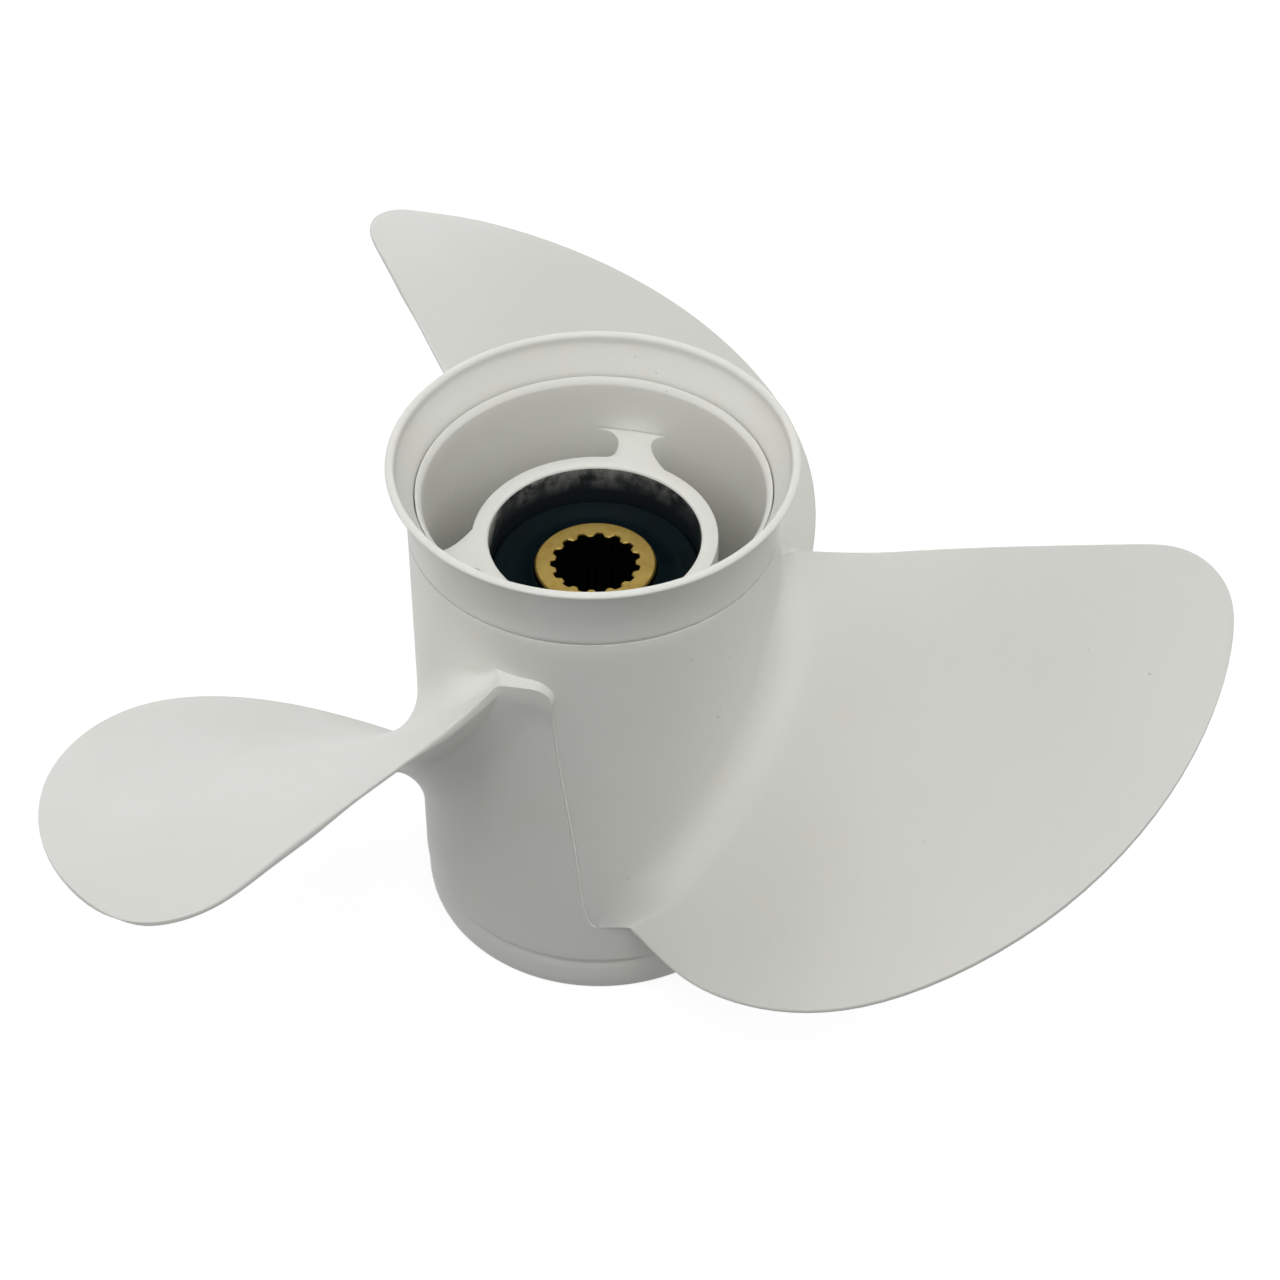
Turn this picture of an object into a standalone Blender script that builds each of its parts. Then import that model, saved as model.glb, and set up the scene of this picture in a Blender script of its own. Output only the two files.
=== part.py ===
"""Three-blade outboard propeller with a through-hub exhaust and a rubber cushion hub.

The propeller stands on the front end of its barrel, with the exhaust end up.
The Z axis is the shaft axis, z = 0 is the front end face, and +Z points aft.
It is a right-hand propeller: seen from aft it turns clockwise to drive ahead.
"""

import math

import bmesh
import bpy

MM = 0.001
GAP = 0.3  # clearance between pieces that touch, mm
ROOT_GAP = 0.5  # under a blade's root, whose flat facets span the round barrel

# Overall sizes, mm
TIP_RADIUS = 171.5
PITCH = 396.0
BLADES = 3

# Barrel: a tapered tube whose aft end is a spigot for the diffuser ring
FOOT_RADIUS = 50.4
FOOT_CORNER = 2.4  # height of the rounded corner above the front end face
FOOT_CORNER_RADIUS = 51.8
LIP_HEIGHT = 12.8  # the front lip ends here in a small step
LIP_RADIUS = 51.9
BODY_FRONT = 13.4
BARREL_FRONT_RADIUS = 52.3
BARREL_AFT_RADIUS = 50.3
BARREL_BORE = 46.0
SEAM_HEIGHT = 136.9
SPIGOT_RADIUS = 47.7
SPIGOT_TOP = 147.2
SPIGOT_CHAMFER = 1.5
SPIGOT_CHAMFER_WIDTH = 1.05
BARREL_RINGS = 6  # sections between the seam and the lip

# Diffuser ring: a bell whose outside flares from upright at the seam to a rolled lip
RIM_RADIUS = 54.9
RIM_HEIGHT = 157.8
RIM_WALL = 2.4
FLARE_ARC = 49.4
FLARE_TOP = 155.6
LIP_ARC_END = -45.0  # degrees, where the rolled lip's round meets the flare below it
BELL_INSIDE = ((49.8, 150.6), (51.4, 153.8))  # radius and height above the socket

# Inner hub, a tube held in the barrel by three ribs
HUB_RADIUS = 33.5
HUB_BORE = 28.9
HUB_FRONT = 28.0
HUB_AFT = 130.0
HUB_SHOULDER_RADIUS = 22.0
HUB_SHOULDER_TOP = 38.0
HUB_SHOULDER_SLOPE = 2.0
HUB_EDGE = 0.8

# Ribs, in plan: (radius, angle in degrees from the rib's waist) along both sides, whose
# ends also run out to the hub and to the barrel
RIB_ANGLE = 73.0
RIB_FRONT = 32.0
RIB_AFT = 129.6
RIB_LEADING_SIDE = ((35.6, -14.0), (38.2, -9.3), (41.0, -6.6), (43.4, -6.6))
RIB_TRAILING_SIDE = ((43.6, 10.6), (41.0, 7.6), (38.0, 6.6), (35.4, 6.8))
RIB_HUB_SPAN = (8.6, -18.5)
RIB_WALL_SPAN = (-8.6, 14.8)
RIB_ARC_STEPS = 6

# Cushion hub
SLEEVE_RADIUS = 16.8
SLEEVE_FRONT = 34.0
SLEEVE_AFT = 120.2
SLEEVE_CHAMFER = 0.6
SPLINE_TEETH = 15
SPLINE_MAJOR = 12.3
SPLINE_MINOR = 11.0
SPLINE_TOOTH_SHARE = 0.46
SPLINE_FLANK = 0.03  # half the angle a tooth's flank spans, in radians
BUSH_FRONT = 41.0
BUSH_AFT = 118.6
BUSH_DISH = 3.0
BUSH_PROFILE_STEP = 1.5
BUSH_SEGMENTS = 60

# Blades: the driving face is a constant-pitch helix with aft rake
FACE_HEIGHT = 120.0  # of the driving face at plan angle 0, at the rake's start
RAKE_START = 54.8
RAKE_TIP = 18.1
RAKE_POWER = 1.2
ROOT_THICKNESS = 12.5
TIP_THICKNESS = 3.4
LEADING_EDGE = 1.8
TRAILING_EDGE = 2.4
ROOT_FILLET = 7.0
ROOT_FILLET_REACH = 0.92  # share of the fillet's arc that is built, so it ends in a lip
ROOT_SECTIONS = (0.0, 2.0, 4.5, 8.0)  # heights of the fillet's sections above the barrel
THICKNESS_POWER = 1.3
SECTION_POWER = 0.8
SPAN_STATIONS = 13
CHORD_STATIONS = 14
LAYERS = (0.0, 0.25, 0.5, 0.75, 1.0)  # across the thickness, driving face to back

# Control points of the blade's outline seen from aft, as radius in mm and angle in
# degrees: from the leading edge's root round the tip to the trailing edge's root
OUTLINE = (
    (48.0, -83.5),
    (75.5, -78.5),
    (98.5, -74.5),
    (135.0, -63.0),
    (158.5, -43.5),
    (170.0, -26.0),
    (174.0, -12.0),
    (168.5, -7.0),
    (157.5, -4.0),
    (142.0, -4.0),
    (108.5, -2.5),
    (74.0, 0.0),
    (46.0, 2.5),
)

SEGMENTS = 72  # round the barrel, the hub and the ring


def clear_scene():
    for obj in list(bpy.data.objects):
        bpy.data.objects.remove(obj, do_unlink=True)


def material(name, colour, roughness, metallic):
    made = bpy.data.materials.new(name)
    made.use_nodes = True
    shader = made.node_tree.nodes["Principled BSDF"]
    shader.inputs["Base Color"].default_value = (*colour, 1.0)
    shader.inputs["Roughness"].default_value = roughness
    shader.inputs["Metallic"].default_value = metallic
    return made


def add_object(name, mesh, look, smooth_angle=35.0):
    mesh.shade_smooth()
    mesh.set_sharp_from_angle(angle=math.radians(smooth_angle))
    mesh.materials.append(look)
    obj = bpy.data.objects.new(name, mesh)
    bpy.context.scene.collection.objects.link(obj)
    return obj


def arc(centre_r, centre_z, radius, start, end, steps):
    """Points (r, z) along an arc, with angles in degrees from the +r direction."""
    points = []
    for step in range(steps + 1):
        angle = math.radians(start + (end - start) * step / steps)
        points.append((centre_r + radius * math.cos(angle), centre_z + radius * math.sin(angle)))
    return points


def turned(name, profile, look, segments=SEGMENTS):
    """A turned solid. The profile runs down its outer side and back up its bore."""
    mesh = bpy.data.meshes.new(name)
    points = [(r * MM, 0.0, z * MM) for r, z in profile]
    edges = [(i, (i + 1) % len(points)) for i in range(len(points))]
    mesh.from_pydata(points, edges, [])
    obj = bpy.data.objects.new(name, mesh)
    bpy.context.scene.collection.objects.link(obj)
    screw = obj.modifiers.new("Turn", "SCREW")
    screw.axis = "Z"
    screw.steps = segments
    screw.render_steps = segments
    screw.use_merge_vertices = True
    screw.merge_threshold = 0.00001
    screw.use_smooth_shade = False
    graph = bpy.context.evaluated_depsgraph_get()
    turned_mesh = bpy.data.meshes.new_from_object(obj.evaluated_get(graph))
    turned_mesh.name = name
    bpy.data.objects.remove(obj, do_unlink=True)
    return add_object(name, turned_mesh, look)


def barrel_radius(z):
    """The barrel's outside radius, which tapers from the foot to the seam."""
    share = (z - BODY_FRONT) / (SEAM_HEIGHT - BODY_FRONT)
    share = min(max(share, 0.0), 1.0)
    return BARREL_FRONT_RADIUS + (BARREL_AFT_RADIUS - BARREL_FRONT_RADIUS) * share


def make_barrel(look):
    profile = [
        (BARREL_BORE + SPIGOT_CHAMFER_WIDTH, SPIGOT_TOP),
        (SPIGOT_RADIUS, SPIGOT_TOP),
        (SPIGOT_RADIUS, SEAM_HEIGHT - GAP),
        (BARREL_AFT_RADIUS, SEAM_HEIGHT - GAP),
    ]
    for step in range(1, BARREL_RINGS + 1):
        z = SEAM_HEIGHT + (BODY_FRONT - SEAM_HEIGHT) * step / BARREL_RINGS
        profile.append((barrel_radius(z), z))
    profile.append((LIP_RADIUS, LIP_HEIGHT))
    profile.append((FOOT_CORNER_RADIUS, FOOT_CORNER))
    profile.append((FOOT_RADIUS, 0.0))
    profile.append((BARREL_BORE, 0.0))
    profile.append((BARREL_BORE, SPIGOT_TOP - SPIGOT_CHAMFER))
    return turned("barrel", profile, look)


def make_diffuser_ring(look):
    """The ring slips over the spigot, and its rounded lip ends the propeller."""
    socket = SPIGOT_RADIUS + GAP
    lip = RIM_WALL / 2
    lip_arc = arc(RIM_RADIUS - lip, RIM_HEIGHT - lip, lip, 170.0, LIP_ARC_END, 8)
    seam = SEAM_HEIGHT + GAP
    sweep = math.degrees(math.asin((FLARE_TOP - seam) / FLARE_ARC))
    bell = arc(BARREL_AFT_RADIUS + FLARE_ARC, seam, FLARE_ARC, 180.0 - sweep, 180.0, 7)
    inside = [(socket, seam), (socket, SPIGOT_TOP + GAP), *BELL_INSIDE]
    return turned("diffuser_ring", lip_arc + bell + inside, look)


def make_inner_hub(look):
    profile = [
        (HUB_BORE + HUB_EDGE, HUB_AFT),
        (HUB_RADIUS - HUB_EDGE, HUB_AFT),
        (HUB_RADIUS, HUB_AFT - HUB_EDGE),
        (HUB_RADIUS, HUB_FRONT + HUB_EDGE),
        (HUB_RADIUS - HUB_EDGE, HUB_FRONT),
        (HUB_SHOULDER_RADIUS + HUB_EDGE, HUB_FRONT),
        (HUB_SHOULDER_RADIUS, HUB_FRONT + HUB_EDGE),
        (HUB_SHOULDER_RADIUS, HUB_SHOULDER_TOP),
        (HUB_BORE, HUB_SHOULDER_TOP + HUB_SHOULDER_SLOPE),
        (HUB_BORE, HUB_AFT - HUB_EDGE),
    ]
    return turned("inner_hub", profile, look)


def spread_along(radius, span, steps):
    """Evenly spaced (radius, angle) pairs along an arc about the shaft axis."""
    first, last = span
    return [(radius, first + (last - first) * step / steps) for step in range(steps + 1)]


def plan_points(outline, angle):
    """Plan points from (radius, angle) pairs, turned by an angle in degrees."""
    plan = []
    for radius, offset in outline:
        turn = math.radians(angle + offset)
        plan.append((radius * math.cos(turn), radius * math.sin(turn)))
    return plan


def make_rib(index, look):
    """A rib spreads where it meets the hub and the wall, more on its leading side."""
    inner = HUB_RADIUS + GAP
    outer = BARREL_BORE * math.cos(math.pi / SEGMENTS) - GAP
    angle = RIB_ANGLE + index * 360.0 / BLADES
    wall_arc = spread_along(outer, RIB_WALL_SPAN, RIB_ARC_STEPS)
    hub_arc = spread_along(inner, RIB_HUB_SPAN, RIB_ARC_STEPS)
    outline = list(RIB_LEADING_SIDE) + wall_arc + list(RIB_TRAILING_SIDE) + hub_arc
    plan = plan_points(outline, angle)
    shape = bmesh.new()
    floor = [shape.verts.new((x * MM, y * MM, RIB_FRONT * MM)) for x, y in plan]
    face = shape.faces.new(floor)
    raised = bmesh.ops.extrude_face_region(shape, geom=[face])
    top = [item for item in raised["geom"] if isinstance(item, bmesh.types.BMVert)]
    bmesh.ops.translate(shape, verts=top, vec=(0.0, 0.0, (RIB_AFT - RIB_FRONT) * MM))
    bmesh.ops.triangulate(shape, faces=shape.faces[:])
    bmesh.ops.recalc_face_normals(shape, faces=shape.faces[:])
    mesh = bpy.data.meshes.new(f"rib_{index + 1}")
    shape.to_mesh(mesh)
    shape.free()
    return add_object(mesh.name, mesh, look)


def make_cushion_bush(look):
    outer = HUB_BORE - GAP
    inner = SLEEVE_RADIUS + GAP
    middle = (outer + inner) / 2
    profile = [
        (middle, BUSH_AFT - BUSH_DISH),
        (outer - 2 * BUSH_PROFILE_STEP, BUSH_AFT - BUSH_DISH * 0.6),
        (outer, BUSH_AFT - BUSH_DISH * 0.2),
        (outer, BUSH_FRONT),
        (inner, BUSH_FRONT),
        (inner, BUSH_AFT),
        (inner + BUSH_PROFILE_STEP, BUSH_AFT - BUSH_DISH * 0.5),
    ]
    return turned("cushion_bush", profile, look, BUSH_SEGMENTS)


def spline_outline():
    """The bore's outline: square teeth of the minor radius between major-radius grooves."""
    points = []
    step = 2 * math.pi / SPLINE_TEETH
    half_tooth = step * SPLINE_TOOTH_SHARE / 2
    flank = SPLINE_FLANK
    for tooth in range(SPLINE_TEETH):
        centre = tooth * step
        for radius, angle in (
            (SPLINE_MAJOR, centre - half_tooth - flank),
            (SPLINE_MINOR, centre - half_tooth + flank),
            (SPLINE_MINOR, centre + half_tooth - flank),
            (SPLINE_MAJOR, centre + half_tooth + flank),
        ):
            points.append((radius * math.cos(angle), radius * math.sin(angle)))
    return points


def ring_of(shape, points, z):
    return [shape.verts.new((x * MM, y * MM, z * MM)) for x, y in points]


def skin_between(shape, low, high):
    for i in range(len(low)):
        j = (i + 1) % len(low)
        shape.faces.new((low[i], low[j], high[j], high[i]))


def make_splined_sleeve(look):
    """A brass tube, chamfered at both ends, with a splined bore from end to end."""
    shape = bmesh.new()
    bore_plan = spline_outline()
    count = len(bore_plan)
    start = math.atan2(bore_plan[0][1], bore_plan[0][0])
    turns = [start + 2 * math.pi * i / count for i in range(count)]
    outer_plan = [(SLEEVE_RADIUS * math.cos(a), SLEEVE_RADIUS * math.sin(a)) for a in turns]
    share = 1 - SLEEVE_CHAMFER / SLEEVE_RADIUS
    end_plan = [(x * share, y * share) for x, y in outer_plan]
    loops = [
        ring_of(shape, bore_plan, SLEEVE_FRONT),
        ring_of(shape, end_plan, SLEEVE_FRONT),
        ring_of(shape, outer_plan, SLEEVE_FRONT + SLEEVE_CHAMFER),
        ring_of(shape, outer_plan, SLEEVE_AFT - SLEEVE_CHAMFER),
        ring_of(shape, end_plan, SLEEVE_AFT),
        ring_of(shape, bore_plan, SLEEVE_AFT),
    ]
    for low, high in zip(loops, loops[1:] + loops[:1]):
        skin_between(shape, low, high)
    bmesh.ops.recalc_face_normals(shape, faces=shape.faces[:])
    mesh = bpy.data.meshes.new("splined_sleeve")
    shape.to_mesh(mesh)
    shape.free()
    return add_object(mesh.name, mesh, look)


def bspline_point(points, where):
    """A point of the clamped cubic B-spline through its first and last control points."""
    degree = 3
    spans = len(points) - degree
    knots = [0.0] * degree + [i / spans for i in range(spans + 1)] + [1.0] * degree
    span = min(int(where * spans), spans - 1) + degree
    work = [points[span - degree + i] for i in range(degree + 1)]
    for level in range(1, degree + 1):
        for i in range(degree, level - 1, -1):
            low = knots[span - degree + i]
            high = knots[span + 1 + i - level]
            mix = (where - low) / (high - low)
            work[i] = tuple(a + (b - a) * mix for a, b in zip(work[i - 1], work[i]))
    return work[degree]


def blade_edges(samples=400):
    """The leading and trailing edges as lists of (radius, plan angle), root to tip."""
    plan = plan_points(OUTLINE, 0.0)
    polar = []
    for i in range(samples + 1):
        x, y = bspline_point(plan, i / samples)
        polar.append((math.hypot(x, y), math.atan2(y, x)))
    tip = max(range(len(polar)), key=lambda i: polar[i][0])
    scale = TIP_RADIUS / polar[tip][0]
    polar = [(radius * scale, angle) for radius, angle in polar]
    return polar[: tip + 1], polar[tip:][::-1]


def angle_at(edge, radius):
    for (low_r, low_a), (high_r, high_a) in zip(edge, edge[1:]):
        if low_r <= radius <= high_r:
            return low_a + (high_a - low_a) * (radius - low_r) / max(high_r - low_r, 1e-9)
    return edge[-1][1] if radius > edge[-1][0] else edge[0][1]


def face_point(radius, angle):
    """A point of the driving face."""
    share = max(radius - RAKE_START, 0.0) / (TIP_RADIUS - RAKE_START)
    rake = RAKE_TIP * math.sin(math.pi / 2 * min(share, 1.0) ** RAKE_POWER)
    z = FACE_HEIGHT + rake + PITCH / (2 * math.pi) * angle
    return radius, angle, z


def thickness(radius, chord_share):
    """Blade thickness: an arc-backed section over square-cut edges."""
    span_share = (radius - BARREL_AFT_RADIUS) / (TIP_RADIUS - BARREL_AFT_RADIUS)
    span_share = min(max(span_share, 0.0), 1.0)
    most = TIP_THICKNESS + (ROOT_THICKNESS - TIP_THICKNESS) * (1 - span_share) ** THICKNESS_POWER
    edge = LEADING_EDGE + (TRAILING_EDGE - LEADING_EDGE) * chord_share
    bulge = (4 * chord_share * (1 - chord_share)) ** SECTION_POWER
    tip_fade = min(1.0, (1 - span_share) * 4)
    return edge + (most - edge) * bulge * tip_fade


def fillet_spread(height):
    """How far the root fillet stands off the blade at a height above the barrel."""
    if height >= ROOT_FILLET:
        return 0.0
    drop = ROOT_FILLET_REACH * (1 - height / ROOT_FILLET)
    return ROOT_FILLET * (1 - math.sqrt(1 - drop**2))


def offset_point(radius, angle, distance, conform):
    """The driving face moved by a distance along its normal, positive to the back."""
    _, _, z = face_point(radius, angle)
    slope = math.atan2(PITCH / (2 * math.pi), radius)
    angle += distance * math.sin(slope) / radius
    z -= distance * math.cos(slope)
    if conform:
        radius = barrel_radius(z) + ROOT_GAP
    return radius * math.cos(angle) * MM, radius * math.sin(angle) * MM, z * MM


def span_radii():
    """Section radii: close together in the root fillet and towards the tip."""
    radii = [BARREL_AFT_RADIUS + GAP + height for height in ROOT_SECTIONS]
    start = radii[-1]
    for step in range(1, SPAN_STATIONS):
        radii.append(start + (TIP_RADIUS - start) * math.sin(math.pi / 2 * step / SPAN_STATIONS))
    return radii


def make_blade(index, look):
    """A blade: rings of points round each section, a flat root and a closed tip."""
    leading, trailing = blade_edges()
    shape = bmesh.new()
    sections = []
    for radius in span_radii():
        conform = not sections
        low, high = angle_at(leading, radius), angle_at(trailing, radius)
        spread = fillet_spread(radius - BARREL_AFT_RADIUS - GAP)
        grid = []
        for i in range(CHORD_STATIONS + 1):
            share = (1 - math.cos(math.pi * i / CHORD_STATIONS)) / 2
            angle = low + (high - low) * share
            back = thickness(radius, share) + spread
            column = [-spread + (back + spread) * layer for layer in LAYERS]
            grid.append([shape.verts.new(offset_point(radius, angle, d, conform)) for d in column])
        sections.append(grid)
    for low_grid, high_grid in zip(sections, sections[1:]):
        skin_between(shape, section_loop(low_grid), section_loop(high_grid))
    close_root(shape, sections[0])
    tip_angle = leading[-1][1]
    tip = []
    for layer in LAYERS:
        depth = LEADING_EDGE * layer
        tip.append(shape.verts.new(offset_point(TIP_RADIUS, tip_angle, depth, False)))
    close_tip(shape, sections[-1], tip)
    inner_points = [v for v in shape.verts if not v.link_faces]
    bmesh.ops.delete(shape, geom=inner_points, context="VERTS")
    bmesh.ops.triangulate(shape, faces=shape.faces[:])
    bmesh.ops.recalc_face_normals(shape, faces=shape.faces[:])
    mesh = bpy.data.meshes.new(f"blade_{index + 1}")
    shape.to_mesh(mesh)
    shape.free()
    blade = add_object(mesh.name, mesh, look)
    blade.rotation_euler.z = 2 * math.pi * index / BLADES
    return blade


def section_loop(grid):
    """The outer loop of a section: driving face, trailing edge, back, leading edge."""
    face = [column[0] for column in grid]
    trailing = grid[-1][1:-1]
    back = [column[-1] for column in reversed(grid)]
    leading = grid[0][-2:0:-1]
    return face + trailing + back + leading


def close_root(shape, grid):
    for low, high in zip(grid, grid[1:]):
        for i in range(len(low) - 1):
            shape.faces.new((low[i], low[i + 1], high[i + 1], high[i]))


def close_tip(shape, grid, tip):
    """Draws the last section in to a short line of points at the tip."""
    for low, high in zip(grid, grid[1:]):
        shape.faces.new((low[0], high[0], tip[0]))
        shape.faces.new((high[-1], low[-1], tip[-1]))
    for edge in (grid[0], grid[-1]):
        for i in range(len(edge) - 1):
            shape.faces.new((edge[i], edge[i + 1], tip[i + 1], tip[i]))


def main():
    clear_scene()
    paint = material("off_white_paint", (0.62, 0.62, 0.58), 0.38, 0.0)
    ring_paint = material("ring_paint", (0.64, 0.64, 0.60), 0.38, 0.0)
    rubber = material("cushion_rubber", (0.016, 0.022, 0.024), 0.75, 0.0)
    brass = material("sleeve_brass", (0.55, 0.38, 0.13), 0.35, 1.0)
    make_barrel(paint)
    make_diffuser_ring(ring_paint)
    make_inner_hub(paint)
    for index in range(BLADES):
        make_rib(index, paint)
        make_blade(index, paint)
    make_cushion_bush(rubber)
    make_splined_sleeve(brass)


main()
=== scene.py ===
"""Looks of the outboard propeller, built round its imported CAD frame.

The casting is one welded skin: barrel, blades with their root fillets, die parting
lines, ribs and inner hub. Its lengths are in millimetres until a mesh is made; those of
the studio, the lights and the camera are in metres.
"""

import math

import bmesh
import bpy
import numpy as np
from mathutils import Matrix, Vector


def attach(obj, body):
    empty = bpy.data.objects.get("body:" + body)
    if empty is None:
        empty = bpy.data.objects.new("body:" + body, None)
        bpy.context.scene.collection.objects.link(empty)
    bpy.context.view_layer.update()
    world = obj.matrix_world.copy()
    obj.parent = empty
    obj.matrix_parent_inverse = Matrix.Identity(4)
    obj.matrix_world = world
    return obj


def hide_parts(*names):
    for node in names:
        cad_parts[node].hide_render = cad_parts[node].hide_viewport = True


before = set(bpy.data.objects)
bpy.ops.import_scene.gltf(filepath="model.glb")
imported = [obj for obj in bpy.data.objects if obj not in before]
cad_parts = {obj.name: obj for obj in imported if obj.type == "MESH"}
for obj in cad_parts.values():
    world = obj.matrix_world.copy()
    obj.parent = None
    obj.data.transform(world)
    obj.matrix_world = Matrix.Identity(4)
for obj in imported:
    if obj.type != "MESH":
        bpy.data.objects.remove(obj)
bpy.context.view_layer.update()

MM = 0.001
TAU = 2 * math.pi
BLADES = 3
SECTOR = TAU / BLADES

# Sizes that repeat the CAD's, mm
TIP_RADIUS = 171.5
PITCH = 396.0
BARREL_FRONT_RADIUS = 52.3
BARREL_AFT_RADIUS = 50.3
BODY_FRONT = 11.0
SEAM_HEIGHT = 136.9
BARREL_BORE = 46.0
SPIGOT_RADIUS = 47.7
SPIGOT_TOP = 147.2
RIM_RADIUS = 54.9
RIM_HEIGHT = 157.8
FLARE_ARC = 49.4
FLARE_TOP = 156.2
HUB_RADIUS = 33.5
HUB_BORE = 28.9
HUB_FRONT = 28.0
HUB_AFT = 130.0
HUB_SHOULDER_RADIUS = 22.0
HUB_SHOULDER_TOP = 38.0
RIB_ANGLE = 73.0
RIB_FRONT = 32.0
SLEEVE_RADIUS = 16.8
SLEEVE_FRONT = 34.0
SLEEVE_AFT = 120.2
SPLINE_TEETH = 15
SPLINE_MAJOR = 12.3
SPLINE_MINOR = 11.0
SPLINE_TOOTH_SHARE = 0.46
BUSH_FRONT = 41.0
BUSH_AFT = 118.6
FACE_HEIGHT = 120.0
RAKE_START = 54.8
RAKE_TIP = 18.1
RAKE_POWER = 1.2
ROOT_THICKNESS = 12.5
TIP_THICKNESS = 3.4
THICKNESS_POWER = 1.3
SECTION_POWER = 0.8
LEADING_EDGE = 1.8
TRAILING_EDGE = 2.4

# Open seam between the barrel and the diffuser ring, mm
HALF_SEAM = 0.28
SEAM_ROUND = 0.14  # height of the small round at each side of it

# The trailing edge's thickness as a share of the CAD's: at the root, then how it changes,
# as (from which share of the span, over how much of it, by how much)
TRAILING_ROOT_SHARE = 1.12
TRAILING_CHANGES = ((0.17, 0.19, -0.6), (0.48, 0.17, 0.42), (0.62, 0.35, -0.48))

# The blade's outline seen from aft, as B-spline control points of radius and angle in
# degrees: from the leading edge's root round the tip to the trailing edge's root
OUTLINE = (
    (48.0, -83.5), (75.5, -77.4), (98.5, -73.9), (135.0, -62.5), (158.0, -43.3),
    (170.0, -26.0), (174.0, -12.0), (168.5, -7.0), (157.5, -4.0), (142.0, -4.0),
    (108.5, -2.5), (74.0, 0.0), (46.0, 2.5),
)

# Root fillets: how far they spread from the blade and how high they climb, mm
NOMINAL_ROOT = 51.3
FACE_FILLET = 12.0
BACK_FILLET = 9.5
EDGE_FILLET_HEIGHT = 5.6
TRAILING_FACE_SPREAD = 3.3
TRAILING_FACE_SHIFT = -2.3
TRAILING_BACK_SPREAD = 11.5
TRAILING_BACK_SHIFT = 4.6
LEADING_FACE_SPREAD = 10.5
LEADING_FILLET_HEIGHT = 4.0
LEADING_BACK_SPREAD = 2.6
TRAILING_ZONE = 0.22  # share of the chord over which the fillets change to the edge's
LEADING_ZONE = 0.16
PROUD_ZONE = 0.14  # share of the chord over which the back's fillet rises to the ledge

# Trailing edge
TRAILING_TRIM = 0.9  # how far the face stops short of the outline for the round edge, mm
TRAILING_ROUND = 0.75  # how far the end face stands out beyond the face's edge, mm
TRAILING_CORNER = 0.6  # share of the end face that its rounded corner takes
ROUND_FROM = 56.0  # radius where trimming and rounding begin, mm
ROUND_GROWS = 25.0  # over what length they grow to full, mm
ROUND_FADES = 20.0  # and over what length they fade at the tip, mm
TRAILING_SQUARE = 0.8  # how far the end is turned to lie along the axis: 0 not, 1 fully
SQUARE_FADES = 14.0  # over what length that fades at the tip, mm
END_SWELL = 0.1  # how far the end face bulges, as a share of its depth
END_SWELL_FROM = 5  # the fillet level where that begins

# Leading edge and tip
CUT_DEPTH = 5.6  # how far above the face the parting line reaches the fillet's cut end, mm
CUT_SLOPE = 1.1  # how far the fillet runs on past the edge, per mm above the face
NOSE_BULGE = 0.62  # how far the nose reaches forward, as a share of its thickness
TIP_ROUND_REACH = 1.4  # width of the rounding at the tip, mm

# The ledge at the trailing edge's root, where the back's fillet is cut off:
# depth behind the face and distance along the chord, mm
LEDGE = (
    (-3.3, -2.3), (1.7, 1.5), (5.1, 4.5), (7.1, 5.9), (8.75, 6.4),
    (10.2, 6.5), (11.5, 6.35), (12.6, 5.95), (13.4, 5.35), (13.9, 4.6),
)
LEDGE_POINTS = 14
LEDGE_TILT = 0.3  # how far the ledge falls away, per mm outward
LEDGE_TILT_REACH = 2.0  # how far outward it does so, mm
PROUD_HEIGHT = 1.5  # how far the ledge's corner stands proud of the barrel, mm
PROUD_REACH = 7.0  # over what distance round it that fades, mm

# The die parting line from one blade's ledge to the next blade's leading edge: plan
# angle in degrees and height
PARTING_LINE = (
    (18.4, 94.0), (20.1, 80.4), (21.8, 66.6), (23.3, 52.4), (24.5, 38.0),
    (25.5, 33.2), (26.5, 30.2),
)

# The flash bead along it, between two grooves: how far across the line and how high, mm
FLASH = (
    (0.0, 0.0), (0.2, -0.09), (0.4, -0.11), (0.6, 0.06), (0.78, 0.21),
    (0.92, 0.21), (1.1, 0.06), (1.3, -0.11), (1.5, -0.09), (1.7, 0.0),
)
FLASH_END = 1.2  # over what length it fades at the leading edge, mm
FLASH_START = 1.5  # and at the ledge

# The front lip, below the barrel's step: radius and height
LIP_TOP = 14.2
LIP_PROFILE = (
    (52.2, 13.85), (52.02, 13.4), (51.76, 12.95), (51.54, 12.5), (51.42, 12.0),
    (51.42, 11.4), (51.52, 10.8), (51.68, 10.1), (51.8, 9.3), (51.88, 8.0),
    (51.92, 6.0), (51.9, 4.0), (51.75, 2.6), (51.45, 1.4), (51.0, 0.55),
    (50.4, 0.1), (49.9, 0.0),
)

# How finely the skin is divided
CHORD_POINTS = 52
END_POINTS = 30  # round the trailing edge, the ledge's points included
NOSE_POINTS = 24
NOSE_CORNER = 6  # the point of the nose where the parting line meets it
PARTING_POINTS = 84
FILLET_LEVELS = 12
SPAN_LEVELS = 44
ROWS_ABOVE = 30  # from the blades to the seam
ROWS_BELOW = 28  # from the blades to the front lip


def new_object(name, data):
    obj = bpy.data.objects.new(name, data)
    bpy.context.scene.collection.objects.link(obj)
    return obj


def smoothstep(value):
    value = np.clip(value, 0.0, 1.0)
    return value * value * (3 - 2 * value)


def at(radius, angle, z):
    """A point from its radius, plan angle in radians and height."""
    return np.array((radius * math.cos(angle), radius * math.sin(angle), z))


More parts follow.
